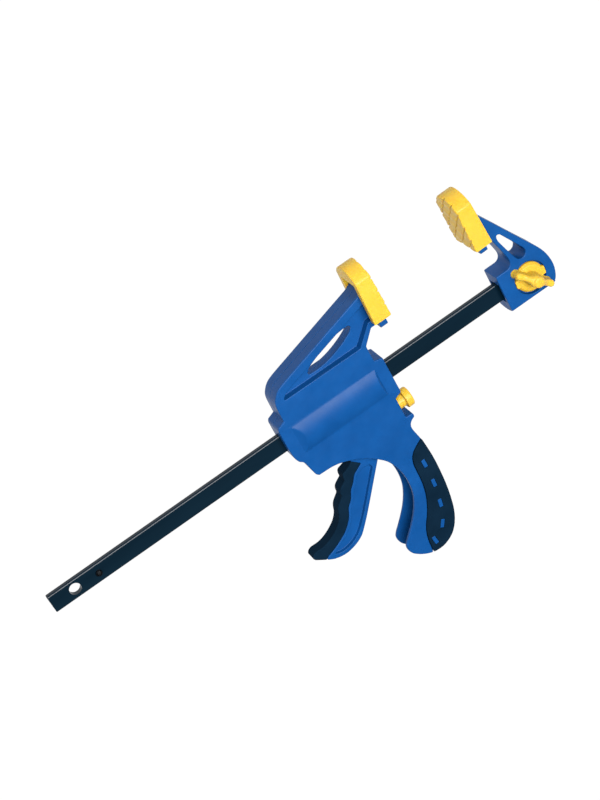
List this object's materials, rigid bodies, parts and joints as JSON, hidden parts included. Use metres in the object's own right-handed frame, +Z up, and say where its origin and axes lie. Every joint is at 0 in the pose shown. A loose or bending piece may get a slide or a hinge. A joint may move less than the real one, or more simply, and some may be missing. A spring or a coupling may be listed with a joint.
{
  "type": "quick release bar clamp",
  "caption": "One-handed bar clamp: pistol-grip sliding jaw with squeeze trigger, release button and padded jaws on a flat steel bar.",
  "frame": {"origin": "centre of the round hole near the bar's free end, on the bar's middle plane", "axes": "+X along the bar towards the fixed jaw, +Y towards the jaw tips, +Z up, towards the side with the wing knob, with the clamp lying on its side"},
  "size_m": [0.5715, 0.3176, 0.053],
  "materials": {
    "bar_steel": "satin black oxide",
    "steel": "zinc plated",
    "blue_plastic": "fine moulded grain",
    "yellow_plastic": "semi-gloss moulded",
    "grip_rubber": "matt soft-touch"
  },
  "bodies": {
    "bar": {"slide_bar": "bar_steel", "stop_pin": "steel", "fixed_jaw": "blue_plastic", "fixed_jaw_pad": "yellow_plastic"},
    "lock_pin": {"lock_pin": "steel"},
    "knob": {"jaw_knob": "yellow_plastic"},
    "housing": {"housing_near": "blue_plastic", "housing_far": "blue_plastic", "housing_screws": "steel", "handle_grip_near": "grip_rubber", "handle_grip_far": "grip_rubber", "moving_jaw_pad": "yellow_plastic", "trigger_pin": "steel", "drive_spring": "steel", "brake_spring": "steel"},
    "trigger": {"trigger": "blue_plastic", "trigger_grip": "grip_rubber"},
    "drive_plate": {"drive_plate": "steel"},
    "brake_plate": {"brake_plate": "steel"},
    "release_button": {"release_button": "yellow_plastic"}
  },
  "joints": [
    {"name": "housing_slide", "type": "slide", "parent": "bar", "child": "housing", "axis": [1, 0, 0], "range_m": [-0.204, 0.096]},
    {"name": "trigger_pull", "type": "hinge", "parent": "housing", "child": "trigger", "pos_m": [0.293, -0.032, 0], "axis": [0, 0, 1], "range_deg": [0, 22], "stiffness_Nm_per_rad": 1, "springref_deg": -2.86},
    {"name": "drive_plate_slide", "type": "slide", "parent": "housing", "child": "drive_plate", "axis": [1, 0, 0], "range_m": [-0.0053, 0], "deforming": ["drive_spring"]},
    {"name": "release_press", "type": "slide", "parent": "housing", "child": "release_button", "axis": [-1, 0, 0], "range_m": [0, 0.003], "stiffness_N_per_m": 800, "springref_m": -0.001},
    {"name": "brake_plate_tilt", "type": "hinge", "parent": "housing", "child": "brake_plate", "pos_m": [0.335, 0.017, 0], "axis": [0, 0, 1], "range_deg": [-3.3, 0], "deforming": ["brake_spring"]},
    {"name": "lock_pin_pull", "type": "slide", "parent": "bar", "child": "lock_pin", "axis": [0, 0, 1], "range_m": [0, 0.014]},
    {"name": "knob_turn", "type": "hinge", "parent": "lock_pin", "child": "knob", "pos_m": [0.519, 0, 0], "axis": [0, 0, 1], "range_deg": [0, 90]}
  ],
  "couplings": [
    {"joint": "drive_plate_slide", "follows": "trigger_pull", "m_per_rad": -0.0135},
    {"joint": "brake_plate_tilt", "follows": "release_press", "rad_per_m": -18.5}
  ]
}
